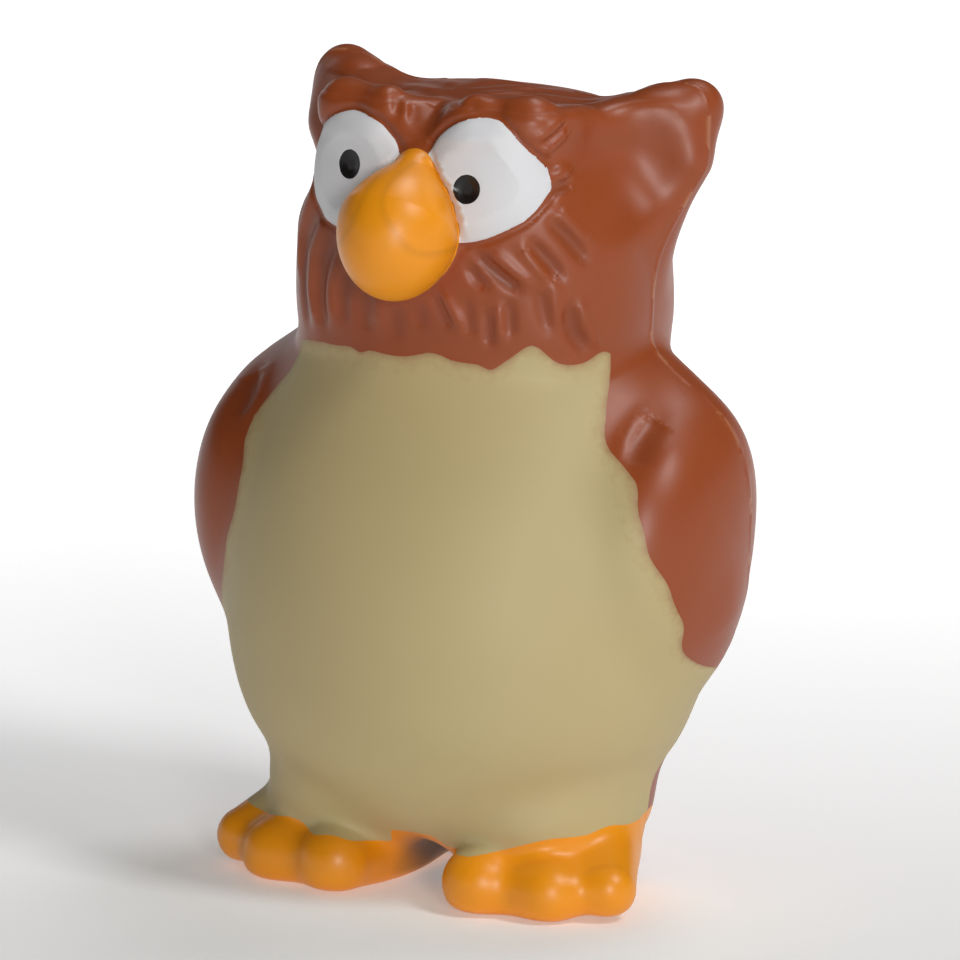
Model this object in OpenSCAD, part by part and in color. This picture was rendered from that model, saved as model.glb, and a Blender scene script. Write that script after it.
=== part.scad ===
// Hand-painted foam squeeze toy in the shape of a standing owl.
// One soft moulding: a foam core and a thin skin, painted in zones.
// Millimetres. +Z is up, the face looks along -Y and +X is the owl's own left side.
// The origin lies on the floor, midway between the front of the belly and the back of the tail.

/* [Torso] */
// Full width of the torso at its widest level
torso_w = 53.6; // [44:0.1:65]
// Reach of the belly in front of the torso's axis
torso_front = 26.2; // [21:0.1:32]
// Reach of the back behind the torso's axis
torso_back = 22; // [18:0.1:27]
// Height of the neck, where the head sits on the torso
neck_z = 60; // [50:0.5:72]
// Squareness of the torso's cross-section, 2 is an ellipse
torso_power = 2.05; // [2:0.05:2.6]

/* [Head] */
// Full width of the head
head_w = 40; // [33:0.1:44]
// Reach of the face in front of the head's axis
head_front = 16.6; // [14:0.1:20]
// Reach of the back of the head behind its axis
head_back = 19.8; // [16:0.1:24]
// Height of the crown above the neck
head_h = 29.2; // [24:0.1:35]
// Squareness of the head's cross-section
head_power = 2.4; // [2:0.05:3]

/* [Brows and ears] */
// Radius of the brow ridges
brow_r = 1.5; // [1.2:0.1:2]
// Reach of each ear tip beyond the side of the head
ear_out = 2.6; // [1:0.1:5]
// Height of the ear tips' centres below the crown
ear_drop = 1.8; // [0:0.1:4]
// Radius of the rounded ear tips
ear_tip_r = 2.6; // [2:0.1:3.4]
// Distance of the ears behind the head's axis
ear_back = 7.4; // [5:0.1:9]

/* [Eyes and beak] */
// Width of each painted eye
eye_w = 13.4; // [11:0.1:15]
// Height of each painted eye
eye_h = 14; // [11.5:0.1:15.5]
// Distance of each eye's middle from the middle of the face
eye_x = 8.1; // [7.5:0.1:9]
// How far the eyes stand out of the face
eye_proud = 0.9; // [0.5:0.1:1.5]
// Diameter of the pupils
pupil_d = 2.9; // [2:0.1:4]
// Height of the left pupil above the neck
left_pupil_z = 20.3; // [18:0.1:22]
// Height of the right pupil above the neck
right_pupil_z = 21.9; // [18:0.1:23]
// Full width of the beak
beak_w = 13.4; // [11:0.1:16]
// Full height of the beak's round end
beak_h = 15.2; // [13:0.1:18]
// Reach of the beak's middle in front of the face
beak_out = 2.4; // [1.5:0.1:4]

/* [Wings] */
// Full height of each folded wing's main bulge
wing_h = 34; // [28:0.5:40]
// Full depth of each wing from front to back
wing_depth = 21.6; // [18:0.1:26]
// How far each wing stands out beyond the side of the torso
wing_out = 6; // [4.5:0.1:8]

/* [Feet and tail] */
// Distance of each foot's middle toe from the middle of the toy
stance = 17.9; // [15:0.1:20]
// Spread of the outer and inner toes about the middle toe
toe_spread = 7.25; // [6:0.05:8.7]
// Radius of the toes
toe_r = 4.2; // [3.6:0.1:4.8]
// Reach of the middle toes in front of the torso's axis
toe_reach = 15; // [12.5:0.1:18]
// Height of the foot paint's edge at the middle of the toy
foot_paint_z = 5.2; // [4.4:0.1:6.4]
// Full width of the tail where it leaves the back
tail_w = 28.4; // [23:0.1:34]
// Reach of the tail's end behind the torso's axis
tail_reach = 27.1; // [24:0.1:32]

/* [Skin] */
// Thickness of the painted skin over the foam core
skin_t = 1.3; // [1:0.1:1.8]
// Half the width of the gap between the feet
gap_r = 3.5; // [2.8:0.1:4.2]

/* [Hidden] */

// Facets around a loft, levels up a loft and facets around a rounded end
ring_n = 36;
level_n = 16;
round_n = 22;
small_n = 16;
big = 200;

// The head's axis lies a little behind the torso's, and both lie this far from the origin
torso_y = (torso_front - tail_reach) / 2;
head_y = torso_y + 0.4;
crown_z = neck_z + head_h;
// The mould's two halves meet on this plane, and the front and back paint meet there too
part_y = torso_y + 5.1;

// Outline rows: height share, then width, front and back shares of the full sizes
torso_rows = [
    [0.017, 0.49, 0.38, 0.50], [0.083, 0.69, 0.63, 0.68], [0.183, 0.81, 0.79, 0.82],
    [0.317, 0.93, 0.93, 0.93], [0.467, 1.00, 1.00, 1.00], [0.617, 1.00, 0.98, 1.00],
    [0.767, 0.94, 0.89, 0.93], [0.883, 0.81, 0.76, 0.84], [0.983, 0.69, 0.64, 0.77],
    [1.100, 0.60, 0.53, 0.68]];
head_rows = [
    [-0.13, 0.75, 0.72, 0.81], [-0.03, 0.93, 0.90, 0.95], [0.09, 1.00, 0.98, 1.00],
    [0.34, 1.00, 1.00, 0.96], [0.62, 0.97, 0.98, 0.90], [0.82, 0.93, 0.93, 0.86],
    [0.945, 0.79, 0.80, 0.74], [1.00, 0.45, 0.48, 0.45]];

// A smooth value between rows: a cubic through each pair that keeps the rows' slopes
function slope(rows, i, c) =
    i <= 0 ? (rows[1][c] - rows[0][c]) / (rows[1][0] - rows[0][0]) :
    i >= len(rows) - 1 ? (rows[i][c] - rows[i - 1][c]) / (rows[i][0] - rows[i - 1][0]) :
    ((rows[i + 1][c] - rows[i][c]) / (rows[i + 1][0] - rows[i][0])
        + (rows[i][c] - rows[i - 1][c]) / (rows[i][0] - rows[i - 1][0])) / 2;
function span_of(rows, t, i = 0) = i >= len(rows) - 2 || t <= rows[i + 1][0] ? i : span_of(rows, t, i + 1);
function blend(a, b, ma, mb, h, s) =
    (2 * s ^ 3 - 3 * s ^ 2 + 1) * a + (s ^ 3 - 2 * s ^ 2 + s) * h * ma
    + (3 * s ^ 2 - 2 * s ^ 3) * b + (s ^ 3 - s ^ 2) * h * mb;
function share(rows, t, c) =
    let (i = span_of(rows, t), h = rows[i + 1][0] - rows[i][0])
    blend(rows[i][c], rows[i + 1][c], slope(rows, i, c), slope(rows, i + 1, c), h, (t - rows[i][0]) / h);

// One point on a rounded-box cross-section at angle a
function signed_power(v, e) = sign(v) * pow(abs(v), e);
function rim(w, front, back, power, a) = [
    w * signed_power(cos(a), 2 / power),
    (sin(a) < 0 ? front : back) * signed_power(sin(a), 2 / power)];

// Reach of the head's face from its axis at side distance x and height z
function face_y(x, z) =
    let (t = (z - neck_z) / head_h, w = head_w / 2 * share(head_rows, t, 1))
    head_y - head_front * share(head_rows, t, 2) * pow(1 - pow(min(abs(x) / w, 0.98), head_power), 1 / head_power);

// A closed body through the rows, grown outwards by g (negative g shrinks it)
module loft(rows, base_z, height, w, front, back, power, y, g = 0) {
    t0 = rows[0][0];
    t1 = rows[len(rows) - 1][0];
    rings = [for (j = [0 : level_n])
        let (s = j / level_n, t = t0 + (t1 - t0) * (s - sin(360 * s) / 12))
        [for (i = [0 : ring_n - 1])
            let (p = rim(w * share(rows, t, 1) + g, front * share(rows, t, 2) + g,
                back * share(rows, t, 3) + g, power, 360 * i / ring_n))
            [p.x, y + p.y, base_z + height * t + g * (2 * s - 1)]]];
    sides = [for (j = [0 : level_n - 1], i = [0 : ring_n - 1])
        let (a = j * ring_n + i, b = j * ring_n + (i + 1) % ring_n)
        [a, a + ring_n, b + ring_n, b]];
    floor_face = [for (i = [0 : ring_n - 1]) i];
    roof_face = [for (i = [ring_n - 1 : -1 : 0]) level_n * ring_n + i];
    polyhedron([for (r = rings) each r], concat(sides, [floor_face], [roof_face]), convexity = 4);
}

module torso(g = 0) {
    loft(torso_rows, 0, neck_z, torso_w / 2, torso_front, torso_back, torso_power, torso_y, g);
}

module head(g = 0) {
    loft(head_rows, neck_z, head_h, head_w / 2, head_front, head_back, head_power, head_y, g);
}

// A ball, an egg with half-sizes r, and a rounded limb between two balls
module ball(p, r) {
    translate(p) sphere(r, $fn = round_n);
}

module egg(p, r) {
    translate(p) scale(r) sphere(1, $fn = round_n);
}

module limb(a, ra, b, rb, n = round_n) {
    hull() {
        translate(a) sphere(ra, $fn = n);
        translate(b) sphere(rb, $fn = n);
    }
}

module mirrored(side) {
    scale([side, 1, 1]) children();
}

module both_sides() {
    for (side = [1, -1]) mirrored(side) children();
}

// Ear: a thick triangular flap from the crown's edge down the side of the head
module ear() {
    root_y = head_y + ear_back - 2;
    hull() {
        ball([head_w * 0.34, root_y, crown_z - 5.2], 4.4);
        ball([head_w * 0.38, root_y, crown_z - 12.2], 4.2);
        ball([head_w * 0.42, root_y, crown_z - 19.2], 3);
        ball([head_w / 2 + ear_out, head_y + ear_back, crown_z - ear_drop], ear_tip_r);
    }
}

// Brow ridge from the notch over the beak, over the eye and back to the ear
module brow() {
    inner = [1.2, face_y(1.2, crown_z - 5) + 5.6, crown_z - brow_r - 1.4];
    peak = [head_w * 0.14, face_y(head_w * 0.14, crown_z - 5) + 2.6, crown_z - brow_r + 0.4];
    outer = [head_w * 0.31, face_y(head_w * 0.31, crown_z - 5) + 1.8, crown_z - brow_r + 0.6];
    end = [head_w * 0.41, head_y - 5, crown_z - brow_r + 0.2];
    limb(inner, brow_r * 0.8, peak, brow_r, small_n);
    limb(peak, brow_r, outer, brow_r, small_n);
    limb(outer, brow_r, end, brow_r, small_n);
}

module head_outside() {
    head();
    both_sides() ear();
    both_sides() brow();
}

module beak_body() {
    root_z = neck_z + 22.2;
    bulb_z = neck_z + 14.9;
    hull() {
        ball([0, face_y(0, root_z) + 3, root_z], 3);
        egg([0, face_y(0, bulb_z) - beak_out, bulb_z], [beak_w / 2, 6.9, beak_h / 2]);
    }
}

// Eye: an egg set in the face with a drawn-out outer corner
module eye_body() {
    eye_z = neck_z + 21.1;
    corner_x = eye_x + eye_w / 2 - 0.8;
    hull() {
        egg([eye_x, face_y(eye_x, eye_z) + 4 - eye_proud, eye_z], [eye_w / 2 - 0.6, 4, eye_h / 2]);
        ball([corner_x, face_y(corner_x, eye_z) + 1.4 - eye_proud / 2, eye_z], 1.4);
    }
}

module pupil_rod(z) {
    translate([eye_x - 0.9, 0, z]) rotate([90, 0, 0]) cylinder(h = big, d = pupil_d, $fn = round_n);
}

// Wing: shoulder, main bulge against the side of the torso, and a lower tip
module wing_body() {
    bulge_x = torso_w / 2 + wing_out - 7.2;
    bulge_z = neck_z * 0.71;
    tip_z = bulge_z - wing_h / 2 + 2.5;
    hull() {
        egg([torso_w * 0.37, torso_y + 0.6, neck_z * 0.8], [8, wing_depth / 2, 9]);
        egg([bulge_x, torso_y + 0.2, bulge_z + 2], [7.2, wing_depth / 2, wing_h * 0.38]);
    }
    hull() {
        egg([bulge_x, torso_y + 0.2, bulge_z], [7.2, wing_depth / 2, wing_h * 0.42]);
        ball([bulge_x, torso_y + 2.2, tip_z], 3);
    }
}

// Foot: a pad under the leg and three round toes
module foot_body() {
    ankle = [stance - 3.9, torso_y - 6.4, toe_r + 0.5];
    egg([stance - 4.4, torso_y - 3.4, 3.2], [9.3, 12, 7.6]);
    limb(ankle + [-3, 1, 0], toe_r + 0.8, [stance - toe_spread - 1.9, torso_y - toe_reach + 0.3, toe_r - 0.8], toe_r);
    limb(ankle, toe_r + 0.6, [stance, torso_y - toe_reach, toe_r - 0.6], toe_r);
    limb(ankle + [2.4, 1.5, 0], toe_r, [stance + toe_spread - 1.9, torso_y - toe_reach + 6, toe_r - 0.8], toe_r - 0.2);
}

module leg_body() {
    egg([stance - 6.1, torso_y - 1.4, 9], [9.8, 13, 9]);
}

module tail_body() {
    hull() {
        egg([0, torso_y + 16.6, 9], [tail_w / 2, 8, 8.5]);
        egg([0, torso_y + tail_reach - 5, 5], [tail_w * 0.36, 5, 5]);
    }
}

// The gap under the belly between the two feet, open to the front
module foot_gap(g = 0) {
    hull() {
        egg([0, torso_y - 30, -1], [gap_r + g, 4, gap_r * 1.75 + g]);
        egg([0, torso_y - 2, -1], [gap_r * 0.9 + g, 4, gap_r * 1.6 + g]);
    }
}

module floor_cut() {
    translate([-big / 2, -big / 2, -big]) cube(big);
}

module body_outside() {
    difference() {
        union() {
            torso();
            both_sides() leg_body();
            both_sides() foot_body();
        }
        foot_gap();
        floor_cut();
    }
}

// The whole toy's outer form, with nothing below the floor
module toy_outside() {
    difference() {
        union() {
            body_outside();
            tail_body();
            both_sides() wing_body();
            head_outside();
            beak_body();
            both_sides() eye_body();
        }
        floor_cut();
    }
}

module core_body() {
    difference() {
        union() {
            torso(-skin_t);
            head(-skin_t);
        }
        foot_gap(skin_t);
    }
}

// Paint zones
module front_half() {
    translate([-big / 2, part_y - big, -big / 2]) cube(big);
}

// Space below the foot paint's edge, which rises towards the outer toe and towards the front
module foot_paint() {
    translate([0, torso_y - 8, foot_paint_z]) rotate([-16, -9, 0]) translate([-big / 4, -big / 2, -big]) cube(big);
}

// Skin of one zone: the outer form less the core
module skin() {
    difference() {
        children();
        core_body();
    }
}

module head_zone() {
    difference() {
        head_outside();
        beak_body();
        both_sides() eye_body();
    }
}

// Space round the arch between the feet, which is painted with them
module arch_paint() {
    half = gap_r + skin_t + 2;
    high = gap_r * 1.75 + skin_t + 0.5;
    translate([-half, -big / 2, -1]) cube([2 * half, big / 2 + part_y + 1, high]);
}

// Space that takes the left foot's paint, from this distance off the middle
module foot_region(from_x = 0) {
    intersection() {
        union() {
            foot_paint();
            arch_paint();
        }
        translate([from_x, -big / 2, -big / 2]) cube(big);
    }
}

module torso_zone() {
    difference() {
        body_outside();
        head_outside();
        beak_body();
        both_sides() wing_body();
        tail_body();
    }
}

// Sub-parts
module foam_core() {
    color([0.80, 0.74, 0.58]) intersection() {
        core_body();
        toy_outside();
    }
}

module head_skin() {
    color([0.55, 0.27, 0.14]) skin() head_zone();
}

module belly_skin() {
    color([0.70, 0.63, 0.46]) skin() difference() {
        intersection() {
            torso_zone();
            front_half();
        }
        both_sides() foot_region(-1);
    }
}

module back_skin() {
    color([0.53, 0.26, 0.14]) skin() difference() {
        torso_zone();
        front_half();
    }
}

module tail_skin() {
    color([0.55, 0.28, 0.16]) skin() difference() {
        tail_body();
        floor_cut();
    }
}

module wing_skin(side) {
    color([0.57, 0.29, 0.16]) skin() difference() {
        mirrored(side) wing_body();
        head_outside();
    }
}

module left_wing_skin() {
    wing_skin(1);
}

module right_wing_skin() {
    wing_skin(-1);
}

module foot_skin(side) {
    color([0.89, 0.55, 0.12]) skin() intersection() {
        body_outside();
        mirrored(side) foot_region();
        front_half();
    }
}

module left_foot_skin() {
    foot_skin(1);
}

module right_foot_skin() {
    foot_skin(-1);
}

module beak_skin() {
    color([0.88, 0.55, 0.12]) skin() intersection() {
        beak_body();
        toy_outside();
    }
}

module eye_patch(side, z) {
    color([0.84, 0.84, 0.83]) skin() difference() {
        intersection() {
            mirrored(side) eye_body();
            toy_outside();
        }
        beak_body();
        mirrored(side) pupil_rod(z);
    }
}

module left_eye_patch() {
    eye_patch(1, neck_z + left_pupil_z);
}

module right_eye_patch() {
    eye_patch(-1, neck_z + right_pupil_z);
}

module pupil(side, z) {
    color([0.10, 0.07, 0.07]) skin() difference() {
        intersection() {
            mirrored(side) eye_body();
            mirrored(side) pupil_rod(z);
            toy_outside();
        }
        beak_body();
    }
}

module left_pupil() {
    pupil(1, neck_z + left_pupil_z);
}

module right_pupil() {
    pupil(-1, neck_z + right_pupil_z);
}

foam_core();
head_skin();
belly_skin();
back_skin();
tail_skin();
left_wing_skin();
right_wing_skin();
left_foot_skin();
right_foot_skin();
beak_skin();
left_eye_patch();
right_eye_patch();
left_pupil();
right_pupil();
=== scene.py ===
"""Looks of a hand-painted foam squeeze owl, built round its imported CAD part.

The toy is one moulding, so its outside is one smooth field of distances. The field is meshed once,
then cut into the painted zones that are the part's nodes. Lengths are in millimetres, and each mesh
is turned to metres as it is made.
"""

import math

import bpy
import numpy as np
from mathutils import Matrix, Vector


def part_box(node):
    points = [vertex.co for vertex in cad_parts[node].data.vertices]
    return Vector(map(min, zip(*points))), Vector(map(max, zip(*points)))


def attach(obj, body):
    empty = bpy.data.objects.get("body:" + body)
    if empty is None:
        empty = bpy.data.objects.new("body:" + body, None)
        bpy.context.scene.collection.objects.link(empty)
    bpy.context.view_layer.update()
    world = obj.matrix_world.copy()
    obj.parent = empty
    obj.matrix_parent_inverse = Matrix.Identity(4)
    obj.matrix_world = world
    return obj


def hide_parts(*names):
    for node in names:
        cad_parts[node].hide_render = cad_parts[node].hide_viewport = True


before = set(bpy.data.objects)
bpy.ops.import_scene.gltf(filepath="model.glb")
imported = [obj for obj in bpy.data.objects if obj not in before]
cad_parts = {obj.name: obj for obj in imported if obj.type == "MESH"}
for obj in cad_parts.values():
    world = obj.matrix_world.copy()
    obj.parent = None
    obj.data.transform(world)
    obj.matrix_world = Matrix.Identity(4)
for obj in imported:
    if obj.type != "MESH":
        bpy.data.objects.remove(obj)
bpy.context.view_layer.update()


MM_PER_M = 1000

# The form below is drawn with the belly's front at y = -27.8. These bring it to where the part is.
BELLY_FRONT = -27.8
SHIFT = np.array([0.0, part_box("belly_skin")[0].y * MM_PER_M - BELLY_FRONT, 0.0])
SKIN = 1.3                      # thickness of the painted skin
CORE_GAP = 0.05                 # between the foam core and the skin
STEP = 0.76   # pitch of the grid that the skin is meshed on
CORE_STEP = 1.5

# ---------------------------------------------------------------- field tools


def smin(a, b, k):
    h = np.maximum(k - np.abs(a - b), 0.0) / k
    return np.minimum(a, b) - h * h * k * 0.25


def smax(a, b, k):
    return -smin(-a, -b, k)


def cone(p, a, b, ra, rb, squash=(1.0, 1.0, 1.0)):
    """Distance to a rounded cone from a to b."""
    s = np.array(squash, float)
    q, a, b = p / s, np.array(a, float) / s, np.array(b, float) / s
    ab = b - a
    t = np.clip(((q - a) @ ab) / (ab @ ab), 0, 1)
    return (np.linalg.norm(q - a - t[:, None] * ab, axis=1) - (ra + (rb - ra) * t)) * s.min()


def egg(p, c, r):
    """Distance to an ellipsoid, near enough."""
    c, r = np.array(c, float), np.array(r, float)
    q = p - c
    k0 = np.linalg.norm(q / r, axis=1)
    k1 = np.linalg.norm(q / (r * r), axis=1)
    return k0 * (k0 - 1.0) / np.maximum(k1, 1e-9)


def curve(x, xs, ys):
    """Smooth line through the rows, level beyond both ends."""
    xs, ys = np.array(xs, float), np.array(ys, float)
    x = np.clip(x, xs[0], xs[-1])
    d = np.diff(ys) / np.diff(xs)
    m = np.empty_like(ys)
    m[1:-1], m[0], m[-1] = (d[1:] + d[:-1]) / 2, d[0], d[-1]
    i = np.clip(np.searchsorted(xs, x) - 1, 0, len(xs) - 2)
    h = xs[i + 1] - xs[i]
    t = (x - xs[i]) / h
    t2, t3 = t * t, t * t * t
    return ((2 * t3 - 3 * t2 + 1) * ys[i] + (t3 - 2 * t2 + t) * h * m[i]
            + (-2 * t3 + 3 * t2) * ys[i + 1] + (t3 - t2) * h * m[i + 1])


def turned(p, rows, power, yc):
    """A body of rows (height, half width, front depth, back depth), boxier for a higher power."""
    rows = np.array(rows, float)
    zs, z = rows[:, 0], p[:, 2]
    w, f, b = (curve(z, zs, rows[:, i]) for i in (1, 2, 3))
    x, y = np.abs(p[:, 0]), p[:, 1] - yc
    depth = np.where(y < 0, f, b)
    k = ((x / w) ** power + (np.abs(y) / depth) ** power) ** (1.0 / power)
    r = np.sqrt(x * x + y * y)
    d = np.where(k < 1e-4, -np.minimum(w, depth), r - r / np.maximum(k, 1e-6))
    slope = (curve(z + 0.4, zs, rows[:, 1]) - curve(z - 0.4, zs, rows[:, 1])) / 0.8
    d = d / np.sqrt(1 + slope * slope)
    return smax(d, np.maximum(zs[0] - z, z - zs[-1]), 3.0)


def gradient(field, p, e=0.08):
    g = np.empty_like(p)
    for k in range(3):
        step = np.zeros(3)
        step[k] = e
        g[:, k] = (field(p + step) - field(p - step)) / (2 * e)
    return g


def settle(field, p, level=0.0, turns=3, longest=0.8):
    """Moves points along the slope of the field until they lie on its level."""
    p = p.copy()
    for _ in range(turns):
        g = gradient(field, p)
        move = ((field(p) - level) / np.maximum((g * g).sum(1), 0.15))[:, None] * g
        size = np.linalg.norm(move, axis=1, keepdims=True)
        p -= move * np.minimum(1.0, longest / np.maximum(size, 1e-9))
    return p


def unit(v):
    return v / np.maximum(np.linalg.norm(v, axis=1, keepdims=True), 1e-12)


# ---------------------------------------------------------------- the owl

TORSO_Y, HEAD_Y = -1.6, -1.2            # the two axes
TORSO_POWER, HEAD_POWER = 2.05, 2.4     # squareness, 2 is an ellipse
# (height, half width, front depth, back depth)
TORSO = [(1, 12.0, 6.0, 10.8), (5, 17.0, 10.6, 14.7), (11, 20.0, 18.4, 16.4), (19, 24.8, 25.0, 20.0),
         (28, 27.4, 26.5, 22.0), (37, 27.6, 25.9, 22.1), (46, 26.3, 23.2, 20.9), (53, 23.6, 19.6, 19.1),
         (59, 21.2, 16.4, 18.2), (66, 18.0, 13.7, 16.0)]
HEAD = [(56, 15.7, 11.9, 16.1), (59.2, 19.7, 14.7, 19.0), (62.5, 20.4, 15.7, 20.2), (70, 20.5, 16.4, 19.3),
        (78, 19.8, 16.5, 17.4), (84, 18.4, 15.5, 15.9), (87.6, 13.9, 13.3, 12.3), (89.2, 9.2, 8.0, 9.2)]


# (root, tip, root radius, tip radius), from the inner toe to the outer one
TOES = [((9.9, -7.0, 4.3), (9.1, -16.3, 3.3), 5.3, 4.2), ((14.0, -7.0, 4.6), (17.0, -15.0, 2.9), 5.0, 4.1),
        ((17.6, -5.5, 6.0), (22.8, -12.3, 3.5), 5.3, 3.2)]


def beak_field(p):
    d = cone(p, (0, -16.7, 82.0), (0, -20.3, 76.8), 2.1, 5.3)
    return smin(d, egg(p, (0, -21.3, 75.1), (5.75, 6.6, 6.8)), 4.0)


def wing_field(q):
    side = egg(q, (25.6, -2.3, 41.9), (6.9, 12.3, 13.5))
    shoulder = egg(q, (19.4, 1.6, 48.2), (11.4, 8.5, 11.0))
    d = smin(side, shoulder, 4.0)
    return smin(d, cone(q, (26.1, -1.2, 34.6), (24.8, 0.9, 30.4), 4.6, 3.7), 4.0)


def tail_field(q):
    return cone(q, (0, 14.6, 9.0), (0, 17.2, 5.5), 9.1, 6.2, (1.62, 1, 1))


def parts(p):
    """Distances to the forms that the outside is blended from."""
    q = p.copy()
    q[:, 0] = np.abs(q[:, 0])
    f = {"torso": turned(q, TORSO, TORSO_POWER, TORSO_Y), "head": turned(q, HEAD, HEAD_POWER, HEAD_Y)}
    ear = smin(cone(q, (14.2, 3.6, 83.3), (21.8, 7.0, 87.5), 3.1, 3.2),
               cone(q, (16.8, 3.0, 70.6), (21.6, 4.7, 82.2), 1.9, 3.3), 4.0)
    ear = smin(ear, cone(q, (16.2, 3.6, 78.1), (18.9, 4.6, 85.7), 3.8, 3.2), 4.0)
    f["ear"] = smin(ear, cone(q, (14.6, -6.2, 85.4), (18.0, 1.6, 85.0), 2.9, 3.4), 4.0)
    brow = smin(cone(q, (1.2, -11.2, 86.6), (5.5, -13.6, 88.2), 1.2, 1.5),
                cone(q, (5.5, -13.2, 88.2), (11.4, -12.0, 87.8), 2.0, 2.1), 1.5)
    f["brow"] = smin(brow, cone(q, (11.4, -12.0, 87.8), (15.9, -6.8, 85.9), 2.1, 2.2), 2.5)
    f["wing"] = wing_field(q)
    foot = egg(q, (12.4, -5.4, 2.0), (8.7, 12.1, 7.7))
    for root, tip, root_r, tip_r in TOES:
        foot = smin(foot, cone(q, root, tip, root_r, tip_r), 2.7)
    f["foot"] = foot
    f["leg"] = egg(q, (12.2, -4.5, 9.8), (9.3, 12.5, 5.8))
    f["tail"] = tail_field(q)
    f["beak"] = beak_field(p)
    f["gap"] = cone(q, (0, -30, -1), (0, 0, -1), 4.4, 4.2, (0.8, 1, 1.6))
    f["dish"] = egg(q, (21.0, -7.0, 83.6), (5.6, 7.4, 6.4))
    return f


def outside(p, f=None):
    """Distance to the toy's plain outside, before its small modelling."""
    f = f or parts(p)
    d = smin(f["torso"], f["leg"], 5.0)
    d = smin(d, f["wing"], 6.5)
    d = smin(d, f["head"], 1.2)
    d = smin(d, smin(f["ear"], f["brow"], 3.0), 4.0)
    d = smin(d, f["tail"], 3.0)
    d = smin(d, f["foot"], 2.0)
    d = smin(d, f["beak"], 0.6)
    d = smax(d, -f["gap"], 2.0)
    d = smax(d, -f["dish"], 5.0)
    return smax(d, -p[:, 2], 1.5)


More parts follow.
